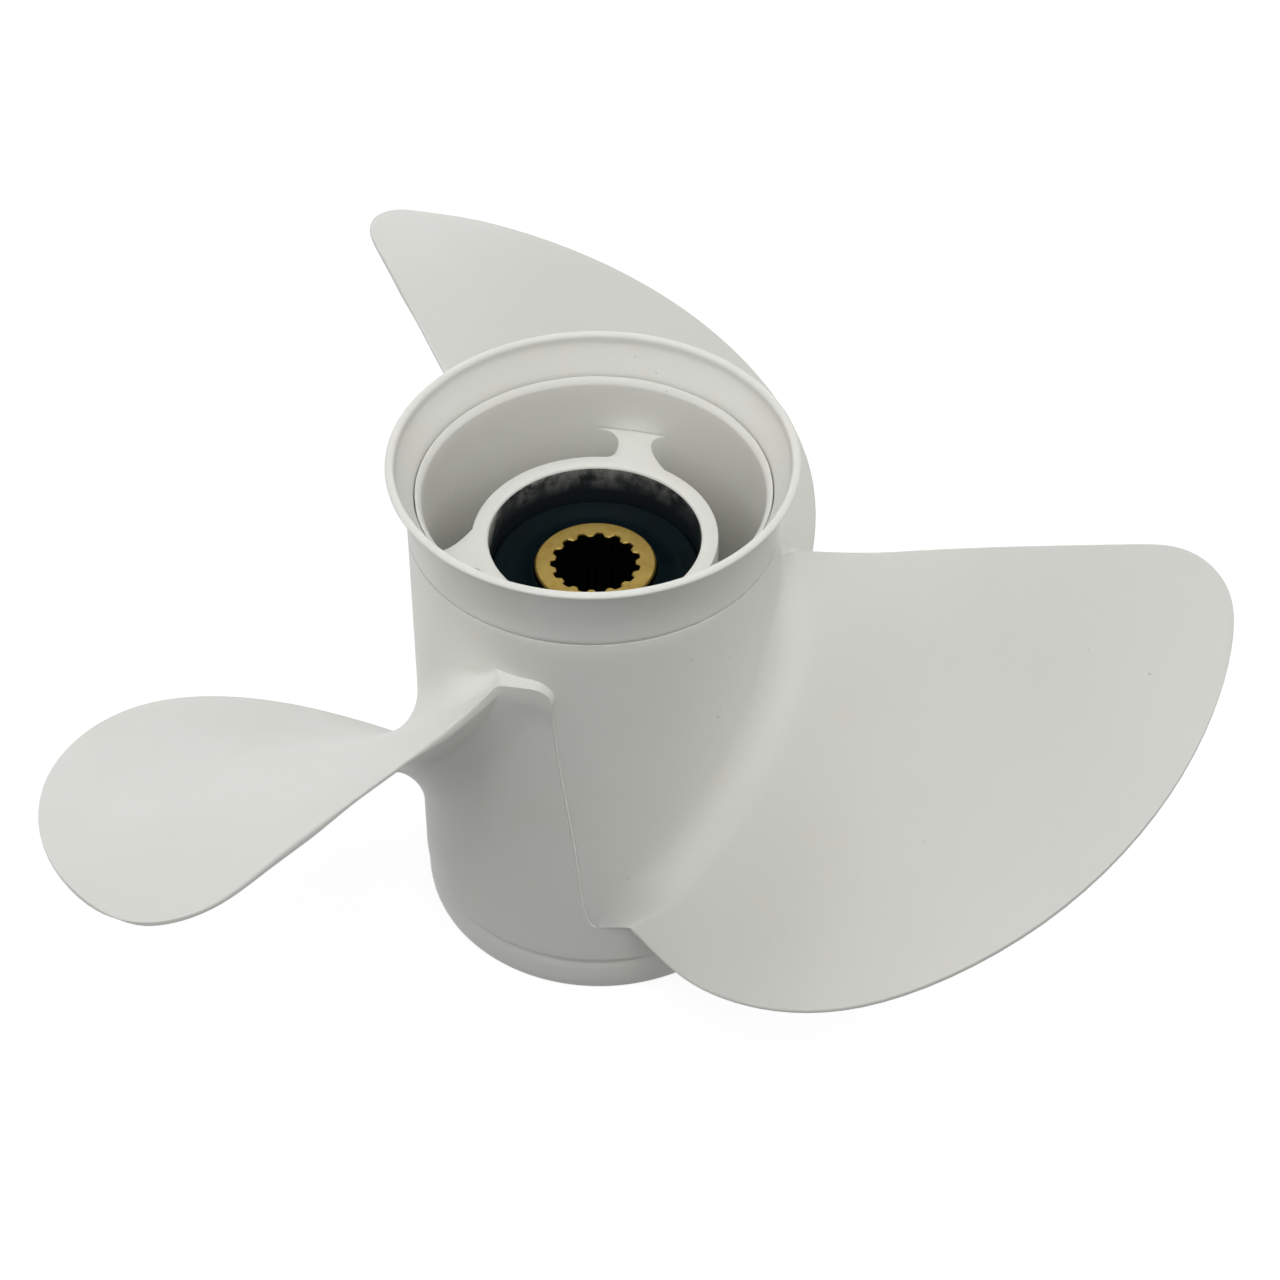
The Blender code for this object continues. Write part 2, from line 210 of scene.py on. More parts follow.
def catmull(points, count):
    """A smooth curve through the points, sampled evenly in its parameter."""
    points = np.asarray(points, float)
    first = 2 * points[0] - points[1]
    last = 2 * points[-1] - points[-2]
    padded = np.vstack((first, points, last))
    spans = len(points) - 1
    samples = []
    for step in range(count):
        where = spans * step / (count - 1)
        span = min(int(where), spans - 1)
        t = where - span
        a, b, c, d = padded[span : span + 4]
        curve = 2 * b + (c - a) * t + (2 * a - 5 * b + 4 * c - d) * t * t
        samples.append((curve + (3 * b - a - 3 * c + d) * t**3) / 2)
    return np.array(samples)


class Skin:
    """Collects grids of points and welds them into one mesh."""

    def __init__(self):
        self.points = []
        self.faces = []
        self.looks = []

    def grid(self, rows, closed=False, look=0):
        rows = [list(row) for row in rows]
        base = len(self.points)
        width = len(rows[0])
        for row in rows:
            self.points.extend(row)
        columns = width if closed else width - 1
        for i in range(len(rows) - 1):
            for k in range(columns):
                low = base + i * width
                high = low + width
                after = (k + 1) % width
                self.faces.append((low + k, low + after, high + after, high + k))
                self.looks.append(look)

    def zip_loops(self, one, other, look=0):
        """Triangles between two closed loops of different counts, both sorted by angle."""
        base = len(self.points)
        self.points.extend(one)
        self.points.extend(other)
        turn_one = np.unwrap([math.atan2(p[1], p[0]) for p in one])
        turn_other = np.unwrap([math.atan2(p[1], p[0]) for p in other])
        start = int(np.argmin(np.abs((turn_other - turn_one[0] + math.pi) % TAU - math.pi)))
        n, m = len(one), len(other)
        i = k = 0

        def other_turn(index):
            lap, place = divmod(start + index, m)
            return turn_other[place] + TAU * lap

        offset = TAU * round((other_turn(0) - turn_one[0]) / TAU)
        while i < n or k < m:
            next_one = turn_one[(i + 1) % n] + (TAU if i + 1 >= n else 0.0)
            next_other = other_turn(k + 1) - offset
            a = base + i % n
            b = base + n + (start + k) % m
            if k >= m or (i < n and next_one <= next_other):
                self.faces.append((a, base + (i + 1) % n, b))
                i += 1
            else:
                self.faces.append((a, base + n + (start + k + 1) % m, b))
                k += 1
            self.looks.append(look)

    def make(self, name, materials, body, smooth_angle=38.0):
        shape = bmesh.new()
        verts = [shape.verts.new(Vector(p) * MM) for p in self.points]
        for face, look in zip(self.faces, self.looks):
            made = shape.faces.new([verts[i] for i in face])
            made.material_index = look
            made.smooth = True
        bmesh.ops.remove_doubles(shape, verts=shape.verts[:], dist=2e-6)
        bmesh.ops.dissolve_degenerate(shape, edges=shape.edges[:], dist=1e-7)
        bmesh.ops.recalc_face_normals(shape, faces=shape.faces[:])
        open_edges = sum(1 for edge in shape.edges if len(edge.link_faces) != 2)
        print(name, len(shape.verts), "vertices,", open_edges, "open edges")
        mesh = bpy.data.meshes.new(name)
        shape.to_mesh(mesh)
        shape.free()
        mesh.set_sharp_from_angle(angle=math.radians(smooth_angle))
        for look in materials:
            mesh.materials.append(look)
        obj = new_object(name, mesh)
        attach(obj, body)
        return obj


# ---- blades


def bspline(points, where):
    """A point of the clamped cubic B-spline through its first and last control points."""
    degree = 3
    spans = len(points) - degree
    knots = [0.0] * degree + [i / spans for i in range(spans + 1)] + [1.0] * degree
    span = min(int(where * spans), spans - 1) + degree
    work = [np.array(points[span - degree + i]) for i in range(degree + 1)]
    for level in range(1, degree + 1):
        for i in range(degree, level - 1, -1):
            low = knots[span - degree + i]
            high = knots[span + 1 + i - level]
            mix = (where - low) / (high - low)
            work[i] = work[i - 1] * (1 - mix) + work[i] * mix
    return work[degree]


def blade_edges(samples=1600):
    """Leading and trailing edges as (radii, plan angles), each from the root to the tip."""
    plan = [at(r, math.radians(a), 0.0)[:2] for r, a in OUTLINE]
    points = np.array([bspline(plan, i / samples) for i in range(samples + 1)])
    radii = np.hypot(points[:, 0], points[:, 1])
    angles = np.arctan2(points[:, 1], points[:, 0])
    tip = int(np.argmax(radii))
    radii *= TIP_RADIUS / radii[tip]
    return (radii[: tip + 1], angles[: tip + 1]), (radii[tip:][::-1], angles[tip:][::-1])


LEADING, TRAILING = blade_edges()


def barrel_radius(z):
    share = np.clip((z - BODY_FRONT) / (SEAM_HEIGHT - BODY_FRONT), 0.0, 1.0)
    return BARREL_FRONT_RADIUS + (BARREL_AFT_RADIUS - BARREL_FRONT_RADIUS) * share


def face_height(radius, angle):
    """Height of the driving face: a helix with rake."""
    span = min(max((radius - RAKE_START) / (TIP_RADIUS - RAKE_START), 0.0), 1.0)
    rake = RAKE_TIP * math.sin(math.pi / 2 * span**RAKE_POWER)
    return FACE_HEIGHT + rake + PITCH / TAU * angle


def clear_of_ends(radius):
    """1 along the trailing edge, fading to 0 at its root and at the tip."""
    past_root = smoothstep((radius - ROUND_FROM) / ROUND_GROWS)
    return float(past_root * smoothstep((TIP_RADIUS - radius) / ROUND_FADES))


def trailing_thickness(span):
    share = TRAILING_ROOT_SHARE
    for start, over, change in TRAILING_CHANGES:
        share += change * float(smoothstep((span - start) / over))
    return TRAILING_EDGE * share


def thickness(radius, chord_share):
    """Blade thickness: an arched section between its edges' own thicknesses."""
    span = (radius - BARREL_AFT_RADIUS) / (TIP_RADIUS - BARREL_AFT_RADIUS)
    span = min(max(span, 0.0), 1.0)
    most = TIP_THICKNESS + (ROOT_THICKNESS - TIP_THICKNESS) * (1 - span) ** THICKNESS_POWER
    edge = LEADING_EDGE + (trailing_thickness(span) - LEADING_EDGE) * chord_share
    bulge = (4 * chord_share * (1 - chord_share)) ** SECTION_POWER
    return edge + (most - edge) * bulge * min(1.0, (1 - span) * 4)


def blade_point(radius, chord_share, depth, along=0.0):
    """(radius, angle, z) at a depth behind the driving face and a shift along the chord."""
    low = np.interp(radius, *LEADING)
    high = np.interp(radius, *TRAILING)
    high -= TRAILING_TRIM * clear_of_ends(radius) / radius
    angle = low + (high - low) * chord_share
    z = face_height(radius, angle)
    slope = math.atan2(PITCH / TAU, radius)
    angle += (depth * math.sin(slope) + along * math.cos(slope)) / radius
    z += along * math.sin(slope) - depth * math.cos(slope)
    return np.array((radius, angle, z))


def near_trailing(share):
    return float(smoothstep((share - (1 - TRAILING_ZONE)) / TRAILING_ZONE))


def near_leading(share):
    return float(smoothstep((LEADING_ZONE - share) / LEADING_ZONE))


def tip_round(radius, thick):
    """How far each face draws in, so that the blade's edge is rounded at the tip."""
    start = TIP_RADIUS - TIP_ROUND_REACH
    inside = min(max((radius - start) / TIP_ROUND_REACH, 0.0), 1.0)
    return thick / 2 * (1 - math.sqrt(max(1 - inside**2, 0.0)))


def square_end(radius, share):
    """How far the back is drawn in, so that the trailing end lies along the axis."""
    slope = PITCH / TAU / radius
    near_tip = float(smoothstep((TIP_RADIUS - radius) / SQUARE_FADES))
    inward = TRAILING_SQUARE * thickness(radius, 1.0) * slope * near_tip
    inward -= TRAILING_ROUND * clear_of_ends(radius)
    return inward * float(smoothstep((share - 0.9) / 0.1))


def mixed(share, middle, trailing, leading):
    t, n = near_trailing(share), near_leading(share)
    return middle * (1 - t) * (1 - n) + trailing * t + leading * n


def column(share, back):
    """A line of points up the blade, root to tip, on its face or its back."""
    t = near_trailing(share)
    if back:
        spread = mixed(share, BACK_FILLET, TRAILING_BACK_SPREAD, LEADING_BACK_SPREAD)
        height = mixed(share, BACK_FILLET, EDGE_FILLET_HEIGHT, LEADING_FILLET_HEIGHT)
        shift = TRAILING_BACK_SHIFT * t
        proud = float(smoothstep((share - (1 - PROUD_ZONE)) / PROUD_ZONE))
    else:
        spread = mixed(share, FACE_FILLET, TRAILING_FACE_SPREAD, LEADING_FACE_SPREAD)
        height = mixed(share, FACE_FILLET, EDGE_FILLET_HEIGHT, LEADING_FILLET_HEIGHT)
        shift = TRAILING_FACE_SHIFT * t
        proud = 0.0
    points = []
    foot = blade_point(NOMINAL_ROOT, share, thickness(NOMINAL_ROOT, share) + spread, shift)
    base = float(proud_rise(foot[1], foot[2])) if back else 0.0
    for level in range(FILLET_LEVELS + 1):
        plain = level / FILLET_LEVELS
        held = max(level - 1, 0) / (FILLET_LEVELS - 1)
        turn = (plain * (1 - proud) + held * proud) * math.pi / 2
        rise = base + (height - base) * (1 - math.cos(turn)) ** (1 - 0.12 * proud)
        stand = spread * (1 - math.sin(turn))
        radius = NOMINAL_ROOT + rise
        depth = thickness(radius, share) + stand if back else -stand
        drawn_in = 0.0
        if back:
            climbed = float(smoothstep((level - 1) / (FILLET_LEVELS - 1)))
            drawn_in = square_end(radius, share) * climbed
        point = blade_point(radius, share, depth, shift * stand / spread - drawn_in)
        point[0] = barrel_radius(point[2]) + rise
        points.append(point)
    start = points[-1][0]
    for level in range(1, SPAN_LEVELS + 1):
        climb = math.sin(math.pi / 2 * level / SPAN_LEVELS)
        radius = start + (TIP_RADIUS - 0.01 - start) * climb
        thick = thickness(radius, share)
        drawn = tip_round(radius, thick)
        if back:
            point = blade_point(radius, share, thick - drawn, -square_end(radius, share))
        else:
            point = blade_point(radius, share, drawn)
        points.append(point)
    return np.array(points)


def proud_rise(angle, z):
    """How far the barrel stands proud round the ledge's corner, mm."""
    corner = blade_point(NOMINAL_ROOT, 1.0, LEDGE[-1][0], LEDGE[-1][1])
    distance = np.hypot((angle - corner[1]) * NOMINAL_ROOT, z - corner[2])
    return PROUD_HEIGHT * np.exp(-((distance / PROUD_REACH) ** 2))


def on_ledge(depth):
    """How far along the chord the ledge's line lies at a depth behind the face."""
    line = catmull(LEDGE, 90)
    return float(np.interp(depth, line[:, 0], line[:, 1]))


def fillet_left(level):
    """How much of a root fillet's spread is left at a level: 1 at its foot, 0 at its top."""
    return 1 - math.sin(min(level / FILLET_LEVELS, 1.0) * math.pi / 2)


def ledge_points(first, last, level):
    """Points along the ledge, which shrinks level by level into the face's edge."""
    if level >= FILLET_LEVELS:
        return [first.copy() for _ in range(LEDGE_POINTS)]
    turn = max(level - 1, 0) / (FILLET_LEVELS - 1) * math.pi / 2
    opened = 1 - math.sin(turn)
    reach = LEDGE[-1][0] * opened
    begin = LEDGE[0][0] * fillet_left(level)
    rise = last[0] - barrel_radius(last[2]) if level else 0.0
    first_rise = first[0] - barrel_radius(first[2])
    points = [first.copy()]
    for k in range(1, LEDGE_POINTS):
        depth = begin + (reach - begin) * k / (LEDGE_POINTS - 1)
        up = first_rise + (rise - first_rise) * float(smoothstep(k / 3))
        point = blade_point(NOMINAL_ROOT + up, 1.0, depth, on_ledge(depth))
        point[0] = barrel_radius(point[2]) + up
        point[2] -= LEDGE_TILT * min(up, LEDGE_TILT_REACH) * min(3 * opened, 1.0)
        points.append(point)
    return points


def span_between(face, back):
    """The distance from a face point to a back point, and the direction square to it."""
    around = (back[1] - face[1]) * (face[0] + back[0]) / 2
    up = back[2] - face[2]
    length = math.hypot(around, up)
    return length, np.array((-up, around)) / max(length, 1e-9)


def trailing_end(first, last, level):
    """Points round the trailing edge: along the ledge first, then down the end face."""
    points = ledge_points(first, last, level)
    edge = points[-1].copy()
    foot = last.copy()
    if not level:
        foot[0] = barrel_radius(foot[2])
    length, out = span_between(edge, foot)
    corner = TRAILING_ROUND * clear_of_ends((edge[0] + foot[0]) / 2)
    grown = smoothstep((level - END_SWELL_FROM) / (FILLET_LEVELS - END_SWELL_FROM))
    full = END_SWELL * length * float(grown)
    for angle in np.linspace(0.0, math.pi, END_POINTS - LEDGE_POINTS + 1)[1:]:
        down = (1 - math.cos(angle)) / 2
        point = edge + (foot - edge) * down
        turned_in = 1 - min(down / TRAILING_CORNER, 1.0)
        swell = corner * (math.sqrt(1 - turned_in**2) - down)
        swell += full * max(math.sin(angle), 0.0) ** 0.5
        point[1] += out[0] * swell / point[0]
        point[2] += out[1] * swell
        points.append(point)
    if not level:
        for point in points:
            point[0] = barrel_radius(point[2])
    points[-1] = foot
    return points


def nose_cap(first, last, level):
    """Points round the leading edge, from the face's side to the back's."""
    length, inward = span_between(first, last)
    points = []
    for u, v in nose_shape(level, length):
        point = first + (last - first) * u
        point[1] -= inward[0] * v * length / point[0]
        point[2] -= inward[1] * v * length
        points.append(point)
    return points


def nose_shape(level, length):
    """A nose's outline in shares of its length: the fillet, its cut end, the round edge.

    The face's fillet runs on past the edge as far as the parting line, which cuts it off.
    """
    fillet = LEADING_FACE_SPREAD * fillet_left(level)
    behind = LEADING_BACK_SPREAD * fillet_left(level)
    thick = max(length - fillet - behind, 0.2)
    bulge = NOSE_BULGE * thick
    corner = min(fillet, CUT_DEPTH)
    run_on = CUT_SLOPE * corner
    along_fillet = np.linspace(0.0, 1.0, NOSE_CORNER + 1)
    points = [((fillet - corner) * r, run_on * r) for r in along_fillet]
    count = NOSE_POINTS - NOSE_CORNER - 1
    for step in range(1, count + 1):
        share = step / count
        if share <= 0.5:
            r = share / 0.5
            across = fillet - corner * (1 - r)
            along = run_on * (1 - r)
            lead = thick * 0.06 * r
            points.append((across + lead * 0.3, along + bulge * 0.35 * r**2))
        else:
            r = (share - 0.5) / 0.5
            curve = math.pi * (0.12 + 0.88 * r)
            side = (1 - math.cos(curve)) / 2
            points.append((fillet + thick * side + behind * r**3, bulge * math.sin(curve)))
    points[-1] = (length, 0.0)
    return np.array(points) / max(length, 1e-9)


def blade_grids():
    """The face, trailing end, back and nose of blade one, as (level, column) grids."""
    shares = (1 - np.cos(np.linspace(0.0, math.pi, CHORD_POINTS))) / 2
    face = np.stack([column(s, False) for s in shares], axis=1)
    back = np.stack([column(s, True) for s in shares], axis=1)
    end = [trailing_end(f[-1], b[-1], i) for i, (f, b) in enumerate(zip(face, back))]
    nose = [nose_cap(f[0], b[0], i) for i, (f, b) in enumerate(zip(face, back))]
    for point in nose[0]:
        point[0] = barrel_radius(point[2])
    return face, np.array(end), back, np.array(nose)


def to_points(grid, turn=0.0):
    """Cartesian points from (radius, angle, z) ones, turned about the axis."""
    radius, angle, z = np.moveaxis(np.asarray(grid, float), -1, 0)
    return np.stack((radius * np.cos(angle + turn), radius * np.sin(angle + turn), z), axis=-1)


def round_loop(row):
    """One sector's row repeated all the way round."""
    return np.concatenate([to_points(row, SECTOR * k) for k in range(BLADES)])


def along_line(points, count):
    """Points evenly spaced along a smooth line through (angle, z) points."""
    fine = catmull(points, 400)
    steps = np.hypot(np.diff(fine[:, 0]) * NOMINAL_ROOT, np.diff(fine[:, 1]))
    way = np.concatenate(((0.0,), np.cumsum(steps)))
    wanted = np.linspace(0.0, way[-1], count)
    line = [np.interp(wanted, way, fine[:, axis]) for axis in (0, 1)]
    return np.stack(line, axis=1), way[-1]


def parting_bead(start, meeting):
    """Rows along the parting line, across its bead, from the ledge to the next blade."""
    design = [(start[1], start[2])]
    design += [(math.radians(a), z) for a, z in PARTING_LINE]
    design.append((meeting[1] + SECTOR, meeting[2]))
    line, length = along_line(design, PARTING_POINTS)
    gone = np.linspace(0.0, length, PARTING_POINTS)
    fade = smoothstep((length - gone) / FLASH_END) * smoothstep(gone / FLASH_START)
    lip = proud_rise(line[:, 0], line[:, 1])
    low = np.stack((barrel_radius(line[:, 1]), line[:, 0], line[:, 1]), axis=1)
    ahead = np.gradient(np.stack((line[:, 0] * NOMINAL_ROOT, line[:, 1]), axis=1), axis=0)
    ahead /= np.hypot(ahead[:, 0], ahead[:, 1])[:, None]
    rows = []
    for across, rise in FLASH:
        row = low.copy()
        row[:, 0] += rise * fade + lip * across / FLASH[-1][0]
        row[:, 1] += ahead[:, 1] * across * fade / NOMINAL_ROOT
        row[:, 2] -= ahead[:, 0] * across * fade
        if across < FLASH[-1][0]:
            row[0] = low[0]
        rows.append(row)
    return low, rows


def barrel_rows(border, height, shares, proud):
    """Rows on the barrel from a border of blade feet and parting line to a height."""
    rows = []
    for share in shares:
        row = settled(border, share)
        row[:, 2] += (height - border[:, 2]) * share
        if share:
            row[:, 0] = barrel_radius(row[:, 2])
            if proud:
                row[:, 0] += proud_rise(row[:, 1], row[:, 2])
        rows.append(row)
    return rows


def add_barrel_and_blades(skin):
    """One sector of the outer skin, turned three times. Returns its two open loops."""
    face, end, back, nose = blade_grids()
    low, bead = parting_bead(end[0][-1], nose[0][NOSE_CORNER])
    upper = bead[-1]
    upper[0] = back[0][-1]
    nose_above = nose[0][: NOSE_CORNER + 1][::-1]
    above = np.concatenate((nose_above, face[0][1:], end[0][1:], low[1:]))
    below = np.concatenate((nose[0][NOSE_CORNER:], back[0][1:], upper[1:]))
    seat = SEAM_HEIGHT - HALF_SEAM - SEAM_ROUND
    above_rows = barrel_rows(above, seat, np.linspace(0.0, 1.0, ROWS_ABOVE) ** 1.5, False)
    below_rows = barrel_rows(below, LIP_TOP, np.linspace(0.0, 1.0, ROWS_BELOW) ** 1.8, True)
    for blade in range(BLADES):
        turn = SECTOR * blade
        for grid in (face, end, back, nose):
            skin.grid(to_points(grid, turn))
        tip = (face[-1], end[-1][1:-1], back[-1][::-1], nose[-1][1:-1][::-1])
        tip = to_points(np.concatenate(tip), turn)
        skin.grid([tip, [tip.mean(axis=0)] * len(tip)], closed=True)
        for grid in (bead, above_rows, below_rows):
            skin.grid(to_points(grid, turn))
    return round_loop(above_rows[-1][:-1]), round_loop(below_rows[-1][:-1])


def settled(border, share):
    """A row that starts as the border and ends with its angles well spread, in order."""
    row = border.copy()
    order = np.maximum.accumulate(border[:, 1])
    order = np.minimum(order, border[-1, 1])
    even = np.linspace(border[0, 1], border[-1, 1], len(border))
    row[:, 1] += (0.6 * order + 0.4 * even - border[:, 1]) * float(smoothstep(share * 1.15))
    return row


# ---- inner web

# Both sides of a rib from the hub to the wall: radius and angle from the rib's middle
RIB_LEADING = (
    (33.5, -19.2), (34.4, -16.4), (36.2, -12.2), (38.4, -8.9), (40.6, -6.9),
    (42.8, -6.2), (44.5, -6.9), (45.5, -8.1), (46.0, -9.6),
)
RIB_TRAILING = (
    (33.5, 10.2), (34.0, 8.6), (35.4, 7.1), (37.6, 6.6), (40.0, 6.8),
    (42.4, 8.0), (44.3, 10.2), (45.4, 12.8), (46.0, 15.9),
)
RIB_ROWS = 26
RIB_COLUMNS = 13
PASSAGE_POINTS = 40
EDGE_ROUND = 0.5


def rib_grid(height, rounded):
    """A rib's end face: rows from the hub to the wall, columns across it."""
    leading = catmull(RIB_LEADING, RIB_ROWS)
    trailing = catmull(RIB_TRAILING, RIB_ROWS)
    rows = []
    for (r_one, a_one), (r_two, a_two) in zip(leading, trailing):
        row = []
        span = math.radians(a_two - a_one) * (r_one + r_two) / 2
        for k in range(RIB_COLUMNS):
            share = k / (RIB_COLUMNS - 1)
            if k in (1, RIB_COLUMNS - 2):
                share = min(EDGE_ROUND * 0.3 / span, 0.05)
            if k in (2, RIB_COLUMNS - 3):
                share = min(EDGE_ROUND / span, 0.12)
            if k in (RIB_COLUMNS - 2, RIB_COLUMNS - 3):
                share = 1 - share
            drop = {0: 1.0, 1: 0.3}.get(min(k, RIB_COLUMNS - 1 - k), 0.0) * EDGE_ROUND
            radius = r_one + (r_two - r_one) * share
            angle = math.radians(RIB_ANGLE + a_one + (a_two - a_one) * share)
            row.append((min(radius, BARREL_BORE), angle, height - drop if rounded else height))
        rows.append(row)
    rows = np.array(rows)
    rows[0][:, 0] = HUB_RADIUS
    rows[-1][:, 0] = BARREL_BORE
    return rows


def ring_columns(rib_row):
    """Plan angles round a circle: a rib's row, then the passage to the next rib."""
    passage = np.linspace(rib_row[-1][1], rib_row[0][1] + SECTOR, PASSAGE_POINTS)
    return np.concatenate((rib_row[:, 1], passage[1:-1]))


def all_round(sector, radius, z):
    """A closed loop from one sector's angles, with radii and heights per column."""
    radius = np.broadcast_to(radius, sector.shape)
    z = np.broadcast_to(z, sector.shape)
    return round_loop(np.stack((radius, sector, z), axis=1))


def rings(sector, profile):
    """A closed loop for each radius and height of a profile."""
    return [all_round(sector, radius, z) for radius, z in profile]


def add_web(skin, bare):
    """The bore, the ribs and the inner hub. Returns the loops at both ends of the bore."""
    top = rib_grid(HUB_AFT, True)
    bottom = rib_grid(RIB_FRONT, False)
    hub = ring_columns(top[0])
    wall = ring_columns(top[-1])
    for k in range(BLADES):
        skin.grid(to_points(top, SECTOR * k))
        skin.grid(to_points(bottom, SECTOR * k))
    ribs = RIB_COLUMNS
    lowered = np.ones(len(hub))
    lowered[1 : ribs - 1] = 0.0
    lowered[[1, ribs - 2]] = 0.3
    edge = HUB_AFT - EDGE_ROUND * lowered

    # Passage walls, from one end of the ribs to the other
    arc = np.linspace(wall[ribs - 1], wall[0] + SECTOR, PASSAGE_POINTS)
    inner_arc = np.linspace(hub[0] + SECTOR, hub[ribs - 1], PASSAGE_POINTS)
    outline = [(BARREL_BORE, a) for a in arc]
    outline += [(r, a + SECTOR) for r, a, _ in top[::-1, 0]][1:]
    outline += [(HUB_RADIUS, a) for a in inner_arc][1:]
    outline += [(r, a) for r, a, _ in top[:, -1]][1:-1]
    outline = np.array(outline)
    heights = np.linspace(HUB_AFT - EDGE_ROUND, RIB_FRONT, 12)
    for k in range(BLADES):
        rows = []
        for z in heights:
            row = np.stack((outline[:, 0], outline[:, 1], np.full(len(outline), z)), axis=1)
            rows.append(to_points(row, SECTOR * k))
        skin.grid(rows, closed=True)

    # The hub's aft face and bore
    profile = (
        (HUB_RADIUS, edge),
        (HUB_RADIUS - 0.15, HUB_AFT - 0.3 * EDGE_ROUND * lowered),
        (HUB_RADIUS - 0.5, HUB_AFT),
        (HUB_BORE + 0.8, HUB_AFT),
        (HUB_BORE + 0.35, HUB_AFT - 0.1),
        (HUB_BORE + 0.08, HUB_AFT - 0.35),
        (HUB_BORE, HUB_AFT - 0.8),
    )
    skin.grid(rings(hub, profile), closed=True)
    profile = (
        (HUB_BORE, HUB_AFT - 0.8),
        (HUB_BORE, HUB_AFT - 8.0),
        (HUB_BORE, HUB_SHOULDER_TOP + 2.0),
        (HUB_SHOULDER_RADIUS, HUB_SHOULDER_TOP),
        (HUB_SHOULDER_RADIUS, HUB_FRONT + 0.8),
    )
    skin.grid(rings(hub, profile), closed=True, look=bare)
    profile = (
        (HUB_SHOULDER_RADIUS, HUB_FRONT + 0.8),
        (HUB_SHOULDER_RADIUS + 0.8, HUB_FRONT),
        (HUB_RADIUS - 0.8, HUB_FRONT),
        (HUB_RADIUS - 0.2, HUB_FRONT + 0.2),
        (HUB_RADIUS, HUB_FRONT + 0.8),
        (HUB_RADIUS, RIB_FRONT),
    )
    skin.grid(rings(hub, profile), closed=True)

    # The wall above the ribs, with a soft fillet over each
    across = np.zeros(len(wall))
    share = (wall[:ribs] - wall[0]) / (wall[ribs - 1] - wall[0])
    across[:ribs] = np.sin(math.pi * share) ** 0.7
    rows = [all_round(wall, BARREL_BORE, edge)]
    for lift in (0.15, 0.4, 0.8, 1.4, 2.2, 3.2, 4.4, 6.0, 9.0, 12.0, 15.2):
        fillet = 0.55 * float(1 - smoothstep(lift / 4.5)) * across
        fillet *= smoothstep(lift / 0.3)
        rows.append(all_round(wall, BARREL_BORE - fillet, HUB_AFT + lift))
    profile = (
        (BARREL_BORE + 0.08, SPIGOT_TOP - 1.7),
        (BARREL_BORE + 0.3, SPIGOT_TOP - 1.3),
        (SPIGOT_RADIUS - 0.55, SPIGOT_TOP - 0.12),
        (SPIGOT_RADIUS - 0.3, SPIGOT_TOP),
        (SPIGOT_RADIUS - 0.08, SPIGOT_TOP - 0.08),
        (SPIGOT_RADIUS, SPIGOT_TOP - 0.3),
        (SPIGOT_RADIUS, SEAM_HEIGHT),
        (SPIGOT_RADIUS, SEAM_HEIGHT - HALF_SEAM),
    )
    rows += rings(wall, profile)
    skin.grid(rows, closed=True)
    spigot_foot = rows[-1]
    profile = (
        (BARREL_BORE, RIB_FRONT),
        (BARREL_BORE, 20.0),
        (BARREL_BORE, 0.8),
        (BARREL_BORE + 0.2, 0.2),
        (BARREL_BORE + 0.8, 0.0),
    )
    rows = rings(wall, profile)
    skin.grid(rows, closed=True)
    return spigot_foot, rows[-1]


def circles(turns, profile):
    """A circle of points for each radius and height of a profile."""
    level = np.ones(len(turns))
    return [to_points(np.stack((r * level, turns, z * level), axis=1)) for r, z in profile]


def make_casting(paint, bare):
    skin = Skin()
    top, bottom = add_barrel_and_blades(skin)
    spigot_foot, bore_foot = add_web(skin, 1)
    seat = SEAM_HEIGHT - HALF_SEAM
    corner = ((BARREL_AFT_RADIUS - 0.03, seat - 0.04), (BARREL_AFT_RADIUS - 0.2, seat))
    rows = [top] + circles(np.arctan2(top[:, 1], top[:, 0]), corner)
    skin.grid(rows, closed=True)
    skin.zip_loops(rows[-1], spigot_foot)
    rows = [bottom] + circles(np.arctan2(bottom[:, 1], bottom[:, 0]), LIP_PROFILE)
    skin.grid(rows, closed=True)
    skin.zip_loops(rows[-1], bore_foot)
    casting = skin.make("propeller_casting", [paint, bare], "propeller")
    nodes = ["barrel", "inner_hub"]
    nodes += [f"{kind}_{k + 1}" for kind in ("rib", "blade") for k in range(BLADES)]
    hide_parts(*nodes)


# ---- turned parts


def arc_points(centre_r, centre_z, radius, start, end, steps):
    """An arc of a profile, with its angles in degrees."""
    turns = np.radians(np.linspace(start, end, steps + 1))
    return [(centre_r + radius * math.cos(t), centre_z + radius * math.sin(t)) for t in turns]


def turned(name, profile, look, segments):
    """A piece of the propeller body turned from a closed profile."""
    skin = Skin()
    turns = np.linspace(0.0, TAU, segments, endpoint=False)
    skin.grid(circles(turns, list(profile) + [profile[0]]), closed=True)
    return skin.make(name, [look], "propeller")


